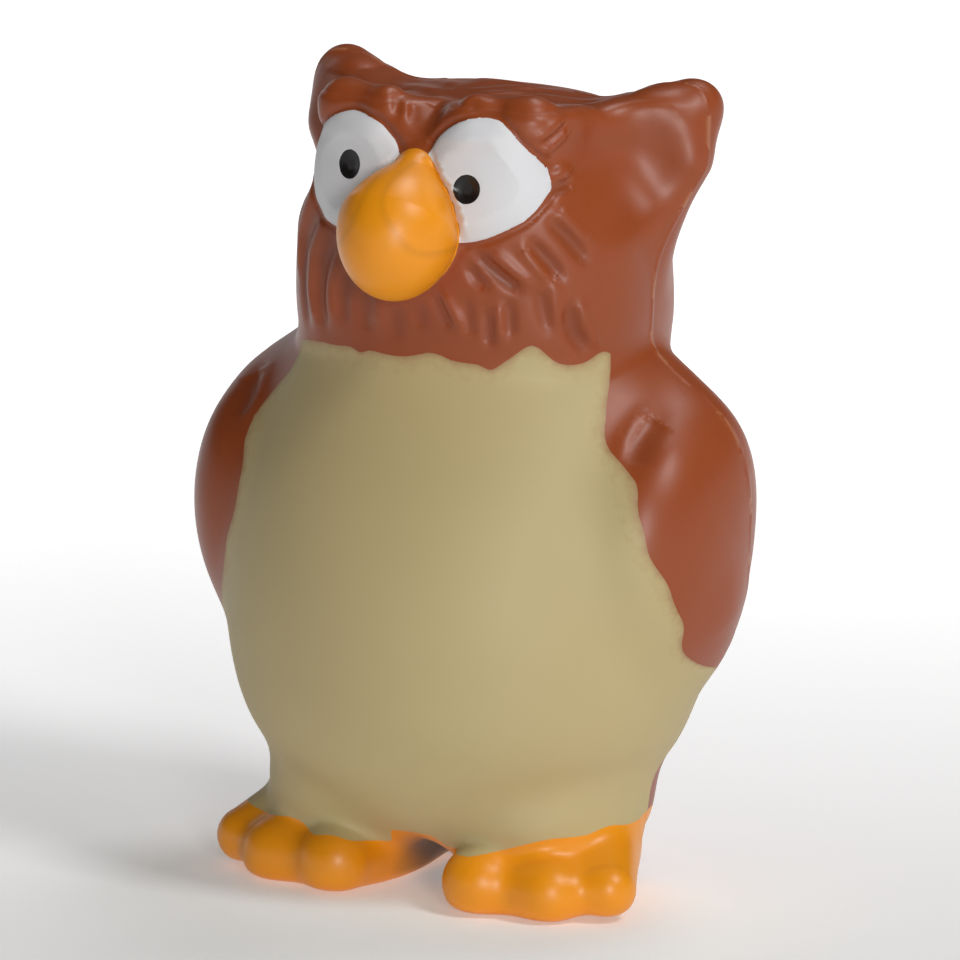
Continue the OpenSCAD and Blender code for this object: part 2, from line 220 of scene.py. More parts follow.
# Small modelling: (half width, depth into the surface, points). A negative depth is a ridge.
STROKES = [
    # under and beside the left eye
    (0.75, 0.95, [(8.0, -17, 73.3), (10.2, -16.3, 71.4), (12.0, -15.5, 69.9)]),
    (0.65, 0.85, [(7.0, -17.1, 72.0), (7.7, -17, 70.8), (8.7, -16.7, 70.0)]),
    (0.9, -0.5, [(9.4, -16.6, 73.6), (11.4, -15.9, 72.0), (13.2, -15, 70.6)]),
    (0.7, 0.9, [(13.4, -14.8, 74.6), (14.7, -13.9, 73.0), (15.8, -13, 71.3)]),
    (0.8, -0.45, [(12.6, -15.3, 74.2), (13.6, -14.7, 72.6), (14.6, -14, 71.2)]),
    (0.7, 0.85, [(15.2, -13.4, 77.0), (16.6, -12.2, 75.1), (17.8, -10.9, 73.0)]),
    (0.9, -0.45, [(15.8, -13, 78.4), (17.0, -11.8, 76.8), (18.0, -10.5, 75.0)]),
    (0.8, -0.45, [(14.9, -13.2, 82.0), (16.4, -11.4, 82.4), (17.4, -9.8, 82.7)]),
    (0.7, 0.35, [(15.0, -13.1, 80.8), (16.6, -11.4, 81.2), (17.6, -9.8, 81.4)]),
    (0.7, -0.5, [(13.4, -13.8, 86.4), (14.5, -12.7, 87.3), (15.6, -11.2, 88.2)]),
    (0.6, 0.4, [(13.6, -13.6, 85.7), (14.8, -12.4, 86.5), (15.9, -11, 87.3)]),
    (0.7, -0.45, [(13.9, -13.3, 84.9), (15.0, -12.2, 85.7), (16.1, -10.8, 86.5)]),
    # lower face, left
    (0.7, -0.4, [(4.0, -17.4, 68.6), (4.8, -17.2, 67.1), (5.8, -17, 65.4)]),
    (0.7, 0.45, [(3.0, -17.6, 68.4), (3.8, -17.3, 66.8), (4.6, -17.1, 65.2)]),
    (0.7, 0.5, [(9.0, -16.4, 67.2), (9.1, -16.2, 63.6)]),
    (0.7, -0.3, [(10.0, -16, 67.6), (10.1, -15.9, 64.2)]),
    (0.7, 0.5, [(11.1, -15.8, 68.2), (11.3, -15.6, 64.8)]),
    (0.7, 0.3, [(6.6, -17, 68.0), (7.0, -16.8, 64.5)]),
    (0.8, 0.85, [(16.6, -12.3, 67.6), (16.8, -12, 65.4), (17.6, -10.8, 63.2)]),
    (0.7, -0.55, [(17.5, -11, 68.0), (17.8, -10.6, 66.0), (18.5, -9.4, 63.6)]),
    (0.8, 0.4, [(14.0, -14.2, 69.5), (14.3, -13.9, 67.6), (14.7, -13.5, 65.6)]),
    (0.8, -0.35, [(15.2, -13.3, 70.4), (15.4, -13, 68.2), (15.6, -12.8, 66.0)]),
    # lower face, right and middle
    (1.0, 0.3, [(0.8, -17.4, 67.2), (1.2, -17.2, 64.8)]),
    (1.0, 0.35, [(-2.2, -17.3, 66.6), (-2.0, -17.1, 63.4)]),
    (0.9, -0.3, [(-3.8, -17.2, 67.6), (-4.0, -17, 64.8)]),
    (1.0, 0.4, [(-5.4, -17, 68.2), (-6.2, -16.8, 65.6), (-6.0, -16.8, 63.6)]),
    (0.9, 0.45, [(-8.2, -16.8, 70.0), (-9.2, -16.4, 67.4), (-9.0, -16, 64.6)]),
    (0.9, -0.45, [(-9.6, -16.4, 71.0), (-10.8, -16, 68.0), (-10.8, -15.6, 64.6)]),
    (1.0, 0.6, [(-10.4, -16.4, 73.6), (-12.2, -15.6, 70.6), (-12.8, -15, 66.6), (-12.2, -14.8, 63.4)]),
    (0.9, -0.5, [(-12.0, -15.4, 74.6), (-13.8, -14.4, 71.0), (-14.2, -14, 67.0), (-13.6, -14, 64.0)]),
    (1.0, 0.55, [(-13.0, -15, 76.0), (-15.2, -13.4, 72.6), (-15.8, -12.8, 68.5), (-15.2, -13, 63.4)]),
    (0.8, -0.4, [(-15.0, -13.6, 76.6), (-16.6, -12, 72.6), (-16.9, -11.6, 68.4)]),
    (0.9, 0.55, [(-16.0, -12.6, 78.8), (-17.5, -11, 75.0), (-17.9, -10.4, 70.0)]),
    (0.8, 0.4, [(-15.6, -12.8, 82.2), (-16.8, -11, 80.6), (-17.8, -9.6, 77.6)]),
    (0.8, -0.35, [(-15.8, -12.4, 83.6), (-17.0, -10.8, 82.4), (-18.0, -9.2, 80.0)]),
    # brow folds and the channel between the eyes
    (1.4, 0.7, [(0.3, -12.6, 89.0), (0.4, -14.6, 87.6), (0.2, -16.2, 85.6)]),
    (0.6, 0.3, [(-3.7, -14.4, 89.2), (-3.2, -15.4, 87.4)]),
    (0.6, 0.3, [(-1.8, -14, 88.6), (-1.2, -15.2, 86.8)]),
    (0.7, -0.15, [(-2.7, -14.4, 89.0), (-2.3, -15.4, 87.2)]),
    (0.7, -0.15, [(-4.9, -14.6, 89.6), (-4.4, -15.5, 88.0)]),
    (0.7, 0.2, [(5.4, -14.4, 89.6), (6.4, -15.2, 88.8)]),
    (0.7, 0.2, [(8.4, -14.0, 89.8), (9.4, -14.6, 88.8)]),
    # crown
    (1.1, 0.25, [(1.2, -11.6, 89.2), (3.0, -8.6, 89.6), (6.5, -6.6, 89.6), (11.0, -4.6, 89.4),
                 (14.6, -2.4, 89.0)]),
    (1.2, 0.25, [(0.4, -9.8, 89.2), (1.8, -6.4, 89.4), (5.0, -3.8, 89.4), (9.6, -1.8, 89.2),
                 (13.2, 0.4, 88.6)]),
    (1.2, 0.22, [(-0.4, -8.2, 89.2), (0.4, -4.2, 89.4), (3.4, -0.8, 89.4), (7.8, 1.4, 89.2),
                 (11.6, 3.2, 88.6)]),
    (1.2, 0.22, [(-1.6, -7.4, 89.2), (-1.2, -2.6, 89.4), (1.2, 1.6, 89.2), (5.4, 4.4, 88.8)]),
    (1.1, 0.25, [(-2.8, -9.4, 89.2), (-4.6, -6.4, 89.6), (-8.0, -4.4, 89.6), (-12.2, -2.2, 89.2)]),
    (1.2, 0.22, [(-2.6, -6.6, 89.2), (-4.2, -3.2, 89.4), (-7.2, -0.6, 89.2), (-10.8, 1.8, 88.8)]),
    (1.2, 0.19, [(-2.6, -4.0, 89.2), (-3.4, 0.2, 89.2), (-5.2, 3.6, 88.8)]),
]
# The same on both ears
PAIRED = [
    (1.6, 0.1, [(17.2, 1.8, 84.6), (19.4, 1.2, 86.0), (21.6, 2.6, 87.6)]),
]
# The hooked crease of the wing, on both sides
WING_STROKES = [
    (1.1, -0.3, [(23.6, -6.1, 55.4), (22.9, -7.9, 54.4), (22.6, -9.6, 52.6), (23.1, -11.7, 50.4)]),
    (1.9, 0.55, [(24.8, -6.6, 54.2), (24.6, -8.6, 52.6), (24.8, -11.0, 50.4)]),
]


def stroke_depth(p, strokes, reach=3.2):
    """Sum of the strokes' depths at p, each fading out at both of its ends."""
    total = np.zeros(len(p))
    for width, depth, line in strokes:
        line = np.array(line, float)
        near = np.where(((p > line.min(0) - reach) & (p < line.max(0) + reach)).all(1))[0]
        if len(near) == 0:
            continue
        q = p[near]
        best, along = np.full(len(q), 1e9), np.zeros(len(q))
        for i in range(len(line) - 1):
            a, ab = line[i], line[i + 1] - line[i]
            t = np.clip(((q - a) @ ab) / (ab @ ab), 0, 1)
            d = ((q - a - t[:, None] * ab) ** 2).sum(1)
            closer = d < best
            best = np.where(closer, d, best)
            along = np.where(closer, (i + t) / (len(line) - 1), along)
        fade = 0.35 + 0.65 * np.sqrt(np.clip(4 * along * (1 - along), 0, 1))
        total[near] += depth * fade * np.exp(-best / (width * width))
    return total


def on_surface(strokes):
    """The strokes with their points brought to the plain outside."""
    made = []
    for width, depth, line in strokes:
        pts = []
        for a, b in zip(line[:-1], line[1:]):
            pts += [np.array(a, float) + (np.array(b, float) - np.array(a, float)) * t for t in (0, 0.5)]
        pts.append(np.array(line[-1], float))
        made.append((width, depth, settle(outside, np.array(pts), turns=6, longest=2.0)))
    return made


# (distance from the middle of the face, height) round each eye: 1 is the owl's left, -1 its right
EYE_OUTLINES = {
    1: [(1.2, 82.6), (2.2, 85.4), (4.4, 87.3), (7.1, 88.2), (9.8, 87.8), (12.2, 85.2), (14.2, 82.5),
        (14.5, 80.9), (14.0, 79.3), (12.8, 77.6), (11.1, 76.4), (8.1, 75.0), (5.2, 74.8), (3.0, 77.5),
        (1.4, 80.0)],
    -1: [(1.6, 82.0), (2.4, 84.2), (3.6, 85.7), (5.2, 86.9), (8.5, 87.6), (11.8, 86.3), (14.4, 83.4),
         (14.6, 80.6), (14.0, 78.0), (12.7, 76.1), (10.6, 74.8), (7.4, 74.4), (4.4, 75.2), (2.2, 78.0)],
}
PUPILS = {1: (6.7, 80.6), -1: (8.0, 81.9)}
PUPIL_R = 1.5
FACE_Y = -4        # the face is in front of this
FAR = 9.0          # stands for any distance too great to matter


def closed_curve(points, n=6):
    """More points on a smooth closed line through these."""
    p = np.array(points, float)
    a, b, c, d = np.roll(p, 1, 0), p, np.roll(p, -1, 0), np.roll(p, -2, 0)
    out = []
    for t in np.arange(n) / n:
        square, cube = 2 * a - 5 * b + 4 * c - d, 3 * b - a - 3 * c + d
        out.append(0.5 * (2 * b + (c - a) * t + square * t**2 + cube * t**3))
    return np.stack(out, 1).reshape(-1, 2)


OUTLINES = {side: closed_curve(line) for side, line in EYE_OUTLINES.items()}


def eye_field(p, side):
    """Distance to the edge of one eye's white, seen from the front; negative inside."""
    out = np.full(len(p), FAR)
    near = np.where((p[:, 0] * side > -2) & (p[:, 1] < FACE_Y) & (p[:, 2] > 70))[0]
    if len(near) == 0:
        return out
    x, z = p[near, 0] * side, p[near, 2]
    line = OUTLINES[side]
    best, inside = np.full(len(near), 1e9), np.zeros(len(near), bool)
    for a, b in zip(line, np.roll(line, -1, 0)):
        e = b - a
        wx, wz = x - a[0], z - a[1]
        t = np.clip((wx * e[0] + wz * e[1]) / (e @ e), 0, 1)
        best = np.minimum(best, (wx - t * e[0]) ** 2 + (wz - t * e[1]) ** 2)
        crosses = (a[1] <= z) != (b[1] <= z)
        inside ^= crosses & (x < a[0] + (z - a[1]) / (e[1] if abs(e[1]) > 1e-9 else 1e-9) * e[0])
    out[near] = np.where(inside, -1, 1) * np.sqrt(best)
    return out


def pupil_field(p, side):
    x, z = PUPILS[side]
    d = np.sqrt((p[:, 0] * side - x) ** 2 + ((p[:, 2] - z) * 0.94) ** 2) - PUPIL_R
    return np.where(p[:, 1] < FACE_Y, d, FAR)


FOOT_BACK_Y = 4.2   # the orange ends here


def part_y(z):
    """How far back the mould's parting line lies at each height."""
    return curve(z, [0, 4, 8, 14, 19, 26, 45, 62, 70, 78, 90],
                 [4.0, 0.5, -0.8, 0.0, 5.5, 4.5, 1.8, 0.0, 0.5, 3.2, 5.2])


FACE_STROKES = on_surface(STROKES)
EAR_STROKES = on_surface(PAIRED)
WING_LINES = on_surface(WING_STROKES)
EYE_PROUD, EYE_RIM_DEPTH, PUPIL_DEPTH, SEAM_PROUD = 0.75, 0.22, 0.3, 0.10


def relief(p):
    """Depth of the small modelling at p: positive is cut in, negative stands out."""
    depth = np.zeros(len(p))
    head = np.where(p[:, 2] > 57)[0]
    if len(head):
        q = p[head]
        m = np.abs(q) * [1, 0, 0] + q * [0, 1, 1]
        d = stroke_depth(q, FACE_STROKES) + stroke_depth(m, EAR_STROKES)
        for side in (1, -1):
            e = eye_field(q, side)
            d -= EYE_PROUD * np.clip(-e / 2.2, 0, 1) ** 0.8 * (e < 0)
            d += EYE_RIM_DEPTH * np.exp(-((e - 0.3) / 0.45) ** 2)
            d += PUPIL_DEPTH * np.clip(-pupil_field(q, side) / 0.9, 0, 1)
        depth[head] += d
    mid = np.where((p[:, 2] > 20) & (p[:, 2] <= 60))[0]
    if len(mid):
        q = np.abs(p[mid]) * [1, 0, 0] + p[mid] * [0, 1, 1]
        depth[mid] += stroke_depth(q, WING_LINES, 6.0)
    seam = np.abs(p[:, 0]) > 8
    depth -= SEAM_PROUD * np.exp(-((p[:, 1] - part_y(p[:, 2])) / 0.3) ** 2) * seam
    return depth


def detailed(p):
    f = parts(p)
    cut = relief(p)
    beak = np.clip((f["beak"] - 0.2) / 0.8, 0, 1)   # nothing is modelled on the beak
    return outside(p, f) + cut * beak


# ---------------------------------------------------------------- meshing


def surface_net(field, lo, hi, h):
    """Vertices and triangles where the field is 0 inside the box, from a grid of that pitch."""
    lo, hi = np.array(lo, float), np.array(hi, float)
    n = np.ceil((hi - lo) / h).astype(int) + 1
    axes = [lo[i] + h * np.arange(n[i]) for i in range(3)]
    v = np.empty(tuple(n))
    for i, x in enumerate(axes[0]):
        yz = np.stack(np.meshgrid(axes[1], axes[2], indexing="ij"), -1).reshape(-1, 2)
        v[i] = field(np.column_stack([np.full(len(yz), x), yz])).reshape(n[1], n[2])
    s = v < 0
    c = n - 1
    count = np.zeros(tuple(c), np.int8)
    corner = [(i, j, k) for i in (0, 1) for j in (0, 1) for k in (0, 1)]
    for i, j, k in corner:
        count += s[i:i + c[0], j:j + c[1], k:k + c[2]]
    cells = np.argwhere((count > 0) & (count < 8))
    ids = np.full(tuple(c), -1)
    ids[tuple(cells.T)] = np.arange(len(cells))
    total, hits = np.zeros((len(cells), 3)), np.zeros(len(cells))
    for a in corner:
        for axis in range(3):
            if a[axis]:
                continue
            b = list(a)
            b[axis] = 1
            va, vb = v[tuple((cells + a).T)], v[tuple((cells + b).T)]
            cross = (va < 0) != (vb < 0)
            t = np.where(cross, va / np.where(cross, va - vb, 1), 0)
            pt = np.array(a, float) + np.zeros((len(cells), 3))
            pt[:, axis] += t
            total += pt * cross[:, None]
            hits += cross
    verts = lo + h * (cells + total / hits[:, None])
    tris = []
    for axis in range(3):
        u, w = (axis + 1) % 3, (axis + 2) % 3
        a, b = [slice(None)] * 3, [slice(None)] * 3
        a[axis], b[axis] = slice(0, -1), slice(1, None)
        e = np.argwhere(s[tuple(a)] != s[tuple(b)])
        e = e[(e[:, u] > 0) & (e[:, w] > 0) & (e[:, u] < c[u]) & (e[:, w] < c[w])]
        du, dw = np.eye(3, dtype=int)[u], np.eye(3, dtype=int)[w]
        quad = np.stack([ids[tuple(cell.T)] for cell in (e - du - dw, e - dw, e, e - du)], 1)
        flip = ~s[tuple(e.T)]
        quad[flip] = quad[flip][:, ::-1]
        tris += [quad[:, [0, 1, 2]], quad[:, [0, 2, 3]]]
    return verts, np.concatenate(tris)


def cut_edges(tris, chosen, first):
    """Splits triangles at chosen edges. chosen(a, b) marks edges; new vertices are numbered from first.
    Returns the new triangles and the edges that were split."""
    e = np.sort(np.stack([tris, np.roll(tris, -1, 1)], -1).reshape(-1, 2), 1)
    edges, back = np.unique(e, axis=0, return_inverse=True)
    back = back.reshape(-1, 3)
    mark = chosen(edges[:, 0], edges[:, 1])
    number = np.full(len(edges), -1)
    number[mark] = first + np.arange(mark.sum())
    mid = number[back]
    bits = mid >= 0
    kind = bits.sum(1)
    out = [tris[kind == 0]]

    def turn(rows, k):
        """Rows of (corners, middles), turned so that corner k comes first."""
        order = [(k + i) % 3 for i in range(3)]
        return tris[rows][:, order], mid[rows][:, order]

    for k in range(3):
        rows = np.where((kind == 1) & bits[:, k])[0]
        t, m = turn(rows, k)
        out += [np.stack([t[:, 0], m[:, 0], t[:, 2]], 1), np.stack([m[:, 0], t[:, 1], t[:, 2]], 1)]
        rows = np.where((kind == 2) & ~bits[:, k])[0]
        t, m = turn(rows, (k + 2) % 3)
        out += [np.stack([t[:, 0], m[:, 0], m[:, 2]], 1), np.stack([m[:, 0], t[:, 1], t[:, 2]], 1),
                np.stack([m[:, 0], t[:, 2], m[:, 2]], 1)]
    rows = np.where(kind == 3)[0]
    t, m = tris[rows], mid[rows]
    out += [np.stack([t[:, 0], m[:, 0], m[:, 2]], 1), np.stack([t[:, 1], m[:, 1], m[:, 0]], 1),
            np.stack([t[:, 2], m[:, 2], m[:, 1]], 1), m]
    return np.concatenate(out), edges[mark]


def refine(verts, tris, where):
    """Halves the edges whose two ends are both marked."""
    mark = where(verts)
    tris, edges = cut_edges(tris, lambda a, b: mark[a] & mark[b], len(verts))
    return np.concatenate([verts, verts[edges].mean(1)]), tris


# ---------------------------------------------------------------- painted zones


def head_edge(p):
    """Height of the ragged lower edge of the head's brown paint."""
    a = np.degrees(np.arctan2(p[:, 0], -p[:, 1]))
    z = 61.4 + 2.1 * np.exp(-((a - 43) / 6.0) ** 2) - 0.7 * np.exp(-((a - 30) / 3.5) ** 2)
    z += np.exp(-((a - 66) / 4.5) ** 2) + 0.5 * np.exp(-((a - 8) / 6) ** 2)
    z -= 0.5 * np.exp(-((a + 22) / 3) ** 2)
    z += 0.14 * np.sin(a * 0.21) - 1.2 * np.clip((np.abs(a) - 40) / 20, 0, 1) * (a < 0)
    return z


def foot_edge(p):
    """Height of the foot paint's upper edge."""
    x = np.abs(p[:, 0])
    left = curve(x, [0, 6, 10, 12.5, 17, 20, 21.5, 23], [5.0, 6.4, 6.9, 7.6, 9.0, 9.2, 9.8, 8.8])
    right = curve(x, [0, 5, 8, 12, 13.6, 20, 23], [5.0, 5.7, 6.7, 6.6, 7.3, 6.9, 7.3])
    return np.where(p[:, 0] > 0, left, right)


def wing_edge(p):
    """Distance on the body from the edge of the wing's brown paint; negative on the brown."""
    x, y, z = np.abs(p[:, 0]), p[:, 1] - TORSO_Y, p[:, 2]
    a = np.degrees(np.arctan2(x, -y))
    left = curve(z, [22, 25.5, 27.7, 34.1, 41.5, 46.1, 50.4, 54, 57, 59, 62],
                 [150, 106, 86.5, 74.6, 66.6, 64.7, 65.5, 65.2, 68.5, 71, 73])
    right = curve(z, [22, 25.5, 28, 33, 36, 40, 45.7, 49.8, 52.7, 55, 57, 60],
                  [150, 104, 76, 60, 57, 55, 56, 61, 65, 64, 61, 60])
    start = np.where(p[:, 0] > 0, left, right)
    start = start + 0.4 * np.sin(z * 0.55) + 0.25 * np.sin(z * 1.15 + 1)
    r = np.sqrt(x * x + y * y)
    return np.maximum((start - a) * math.pi / 180 * r, 24.0 - z)


# One column each in zone_fields, negative inside. + is the owl's left, - its right.
FIELDS = ["pupil+", "pupil-", "eye+", "eye-", "beak", "head", "wing", "tail", "foot", "front", "side"]
SNAP = 0.05     # a vertex this near to a zone's edge counts as on it
NECK_Z = 59.0   # height of the neck at the sides and the back


def zone_fields(p):
    """Distances to the edges of the painted zones, in the order of FIELDS."""
    f = parts(p)
    body = np.minimum(f["torso"], f["leg"])
    head = np.minimum(np.minimum(f["head"], f["ear"]), f["brow"])
    cols = [pupil_field(p, 1), pupil_field(p, -1), eye_field(p, 1), eye_field(p, -1)]
    cols.append(np.where(p[:, 2] > 60, f["beak"] - head - 0.1, FAR))
    neck = np.where((p[:, 1] > part_y(p[:, 2]) - 9), head - np.minimum(body, f["wing"]), -FAR)
    behind = np.clip((p[:, 1] + 7.5) / 4, 0, 1)
    lower_edge = head_edge(p) * (1 - behind) + NECK_Z * behind - p[:, 2]
    cols.append(np.maximum(lower_edge, np.where(p[:, 2] < 66, neck, -FAR)))
    back = np.maximum(f["wing"] - body + 0.4, p[:, 1] - 9.0)
    cols.append(np.where(p[:, 1] < part_y(p[:, 2]), wing_edge(p), back))
    cols.append(np.where(p[:, 1] > 6, f["tail"] - body + 0.5, FAR))
    arch = np.maximum(np.maximum(np.abs(p[:, 0]) - 6.5, p[:, 2] - 7.5), -p[:, 1] - 19.0)
    foot = np.minimum(p[:, 2] - foot_edge(p), np.maximum(arch, f["gap"] - 1.5))
    cols.append(np.maximum(foot, p[:, 1] - FOOT_BACK_Y))
    cols.append(p[:, 1] - part_y(p[:, 2]))
    cols.append(-p[:, 0])
    return np.stack(cols, 1)


def cut_zones(verts, tris):
    """Cuts the mesh along every zone's edge. Returns it with the field values at its vertices."""
    values = zone_fields(verts)
    values[np.abs(values) < SNAP] = 0.0
    for k in range(len(FIELDS)):
        v = values[:, k]
        tris, edges = cut_edges(tris, lambda a, b: v[a] * v[b] < 0, len(verts))
        if len(edges) == 0:
            continue
        a, b = edges.T
        t = (v[a] / (v[a] - v[b]))[:, None]
        verts = np.concatenate([verts, verts[a] + (verts[b] - verts[a]) * t])
        fresh = values[a] + (values[b] - values[a]) * t
        fresh[:, k] = 0.0
        values = np.concatenate([values, fresh])
    return verts, tris, values


def zone_of(tris, values):
    """The node that each triangle belongs to."""
    inside = values[tris].sum(1) < 0
    k = {n: i for i, n in enumerate(FIELDS)}
    left = inside[:, k["side"]]
    eye_p, eye_m = inside[:, k["eye+"]], inside[:, k["eye-"]]
    beak = inside[:, k["beak"]]
    rules = [
        ("left_pupil", inside[:, k["pupil+"]] & eye_p & left & ~beak),
        ("right_pupil", inside[:, k["pupil-"]] & eye_m & ~left & ~beak),
        ("beak_skin", beak),
        ("left_eye_patch", eye_p & left),
        ("right_eye_patch", eye_m & ~left),
        ("head_skin", inside[:, k["head"]]),
        ("left_wing_skin", inside[:, k["wing"]] & left),
        ("right_wing_skin", inside[:, k["wing"]] & ~left),
        ("tail_skin", inside[:, k["tail"]]),
        ("left_foot_skin", inside[:, k["foot"]] & left),
        ("right_foot_skin", inside[:, k["foot"]] & ~left),
        ("belly_skin", inside[:, k["front"]]),
    ]
    zone = np.full(len(tris), len(rules))
    for i in range(len(rules) - 1, -1, -1):
        zone[rules[i][1]] = i
    return zone, [r[0] for r in rules] + ["back_skin"]


def loose_to_neighbours(tris, zone):
    """Gives each scrap of a zone that is cut off from its main patch to the zone round it."""
    e = np.sort(np.stack([tris, np.roll(tris, -1, 1)], -1).reshape(-1, 2), 1)
    _, back = np.unique(e, axis=0, return_inverse=True)
    order = np.argsort(back.ravel(), kind="stable")
    own = order // 3
    pair = back.ravel()[order]
    same = np.where(pair[1:] == pair[:-1])[0]
    a, b = own[same], own[same + 1]
    for _ in range(3):
        label = np.arange(len(tris))
        link = zone[a] == zone[b]
        la, lb = a[link], b[link]
        while True:
            low = np.minimum(label[la], label[lb])
            before = label.copy()
            np.minimum.at(label, la, low)
            np.minimum.at(label, lb, low)
            label = label[label]
            if (label == before).all():
                break
        main_patches = [np.bincount(label[zone == z]).argmax() for z in np.unique(zone)]
        scrap = ~np.isin(label, main_patches)
        if not scrap.any():
            break
        fresh = zone.copy()
        for patch in np.unique(label[scrap]):
            members = label == patch
            around = np.concatenate([zone[b[members[a] & ~members[b]]], zone[a[members[b] & ~members[a]]]])
            if len(around):
                fresh[members] = np.bincount(around).argmax()
        zone = fresh
    return zone


# ---------------------------------------------------------------- build the surface

LOW, HIGH = (-35.5, -30.5, -2.0), (35.5, 27.5, 94.0)
verts, tris = surface_net(outside, LOW, HIGH, STEP)
verts, tris = refine(verts, tris, lambda p: (p[:, 2] > 58) & (p[:, 1] < 12))
verts = settle(detailed, verts, turns=3)
verts, tris, values = cut_zones(verts, tris)
verts = settle(detailed, verts, turns=1, longest=0.2)
zone, names = zone_of(tris, values)
zone = loose_to_neighbours(tris, zone)
normals = unit(gradient(detailed, verts, 0.12))
inner = settle(outside, verts - SKIN * unit(gradient(outside, verts, 0.3)), level=-SKIN, turns=2)
inner_normals = unit(gradient(outside, inner, 0.3))

# ---------------------------------------------------------------- paint attributes

column = {n: values[:, i] for i, n in enumerate(FIELDS)}
# painted shade: the modelling that is cut in is painted darker, the deeper it is cut
painted_shade = np.clip(relief(verts) * 1.6, 0, 1)
# painted shade: the arch between the feet is painted darker the deeper it goes
under = (np.abs(verts[:, 0]) < 6) & (verts[:, 2] < 10) & (verts[:, 2] > 0.3) & (verts[:, 1] > -16)
shade = np.clip(1.1 - parts(verts)["gap"] / 1.2, 0, 1) * np.clip((verts[:, 1] + 16) / 6, 0, 1)
painted_shade = np.where(under, np.maximum(painted_shade, 2.4 * shade), painted_shade)
seam = 0.8 * np.exp(-((verts[:, 1] - part_y(verts[:, 2])) / 0.22) ** 2) * (np.abs(verts[:, 0]) > 12)


def mist(distance, width):
    """How much of the next colour has drifted over, this far from its edge."""
    return 0.62 * np.exp(-np.clip(distance, 0, FAR) / width)


# Only the belly has its neighbours' brown drifted over it.
BELLY_DRIFT = np.maximum(mist(column["head"], 0.55), mist(column["wing"], 0.5))


# ---------------------------------------------------------------- materials


def linear(r, g, b):
    """Scene-linear colour of an 8-bit screen colour."""
    return tuple((c / 255 / 12.92) if c <= 10 else ((c / 255 + 0.055) / 1.055) ** 2.4 for c in (r, g, b))


def paint(name, colour, rough, drifted=None, shade_colour=None, scuffed=None, pits=0.0, mottle=0.06):
    """Satin paint on foam: cloudy tone, orange peel, pinholes, worn parting line, drifted edge colour,
    painted shade in the grooves.
    """
    m = bpy.data.materials.new(name)
    m.use_nodes = True
    nodes, links = m.node_tree.nodes, m.node_tree.links
    bsdf = nodes["Principled BSDF"]
    where = nodes.new("ShaderNodeTexCoord").outputs["Object"]

    def noise(scale, detail=2.0):
        n = nodes.new("ShaderNodeTexNoise")
        n.inputs["Scale"].default_value = scale
        n.inputs["Detail"].default_value = detail
        links.new(where, n.inputs["Vector"])
        return n.outputs["Fac"]

    def math_node(op, a, b, clamp=False):
        n = nodes.new("ShaderNodeMath")
        n.operation, n.use_clamp = op, clamp
        for socket, value in zip(n.inputs, (a, b)):
            if isinstance(value, (int, float)):
                socket.default_value = value
            else:
                links.new(value, socket)
        return n.outputs[0]

    def attribute(key):
        n = nodes.new("ShaderNodeAttribute")
        n.attribute_name = key
        return n.outputs["Fac"]

    def mix(factor, a, b):
        n = nodes.new("ShaderNodeMix")
        n.data_type = "RGBA"
        for socket, value in ((n.inputs[0], factor), (n.inputs[6], a), (n.inputs[7], b)):
            if isinstance(value, (int, float)):
                socket.default_value = value
            elif isinstance(value, tuple):
                socket.default_value = (*value, 1.0)
            else:
                links.new(value, socket)
        return n.outputs[2]

    def scaled(c, k):
        return tuple(min(1.0, x * k) for x in c)

    cloud = noise(70, 3.0)
    base = mix(cloud, scaled(colour, 1 - mottle), scaled(colour, 1 + mottle))
    # painted shade: the grooves are mixed towards a darker colour by their depth
    if shade_colour:
        base = mix(math_node("MULTIPLY", attribute("painted_shade"), 0.35), base, shade_colour)
    if drifted:
        grain = math_node("MULTIPLY", math_node("SUBTRACT", noise(900, 3.0), 0.5), 0.5)
        ragged = math_node("ADD", attribute("drift"), grain, True)
        gate = math_node("MULTIPLY", math_node("GREATER_THAN", attribute("drift"), 0.02), ragged)
        base = mix(gate, base, drifted)
    if scuffed:
        worn = math_node("GREATER_THAN", noise(330, 4.0), 0.56)
        rubbed = math_node("MULTIPLY", attribute("seam"), math_node("MULTIPLY", worn, 0.55))
        base = mix(rubbed, base, scuffed)
    height = math_node("MULTIPLY", noise(1500, 2.0), 0.5)
    if pits:
        cell = nodes.new("ShaderNodeTexVoronoi")
        cell.inputs["Scale"].default_value = 150
        links.new(where, cell.inputs["Vector"])
        split = nodes.new("ShaderNodeSeparateColor")
        links.new(cell.outputs["Color"], split.inputs[0])
        rare = math_node("GREATER_THAN", split.outputs[0], 1 - pits)
        dot = math_node("MULTIPLY", math_node("LESS_THAN", cell.outputs["Distance"], 0.045), rare)
        base = mix(math_node("MULTIPLY", dot, 0.7), base, scaled(colour, 0.25))
        height = math_node("SUBTRACT", height, math_node("MULTIPLY", dot, 1.5))
    links.new(base, bsdf.inputs["Base Color"])
    uneven = math_node("MULTIPLY", noise(240, 2.0), 0.10)
    links.new(math_node("ADD", uneven, rough - 0.05), bsdf.inputs["Roughness"])
    bump = nodes.new("ShaderNodeBump")
    bump.inputs["Strength"].default_value = 0.35
    bump.inputs["Distance"].default_value = 0.00002
    links.new(height, bump.inputs["Height"])
    links.new(bump.outputs["Normal"], bsdf.inputs["Normal"])
    bsdf.inputs["Specular IOR Level"].default_value = 0.5
    return m
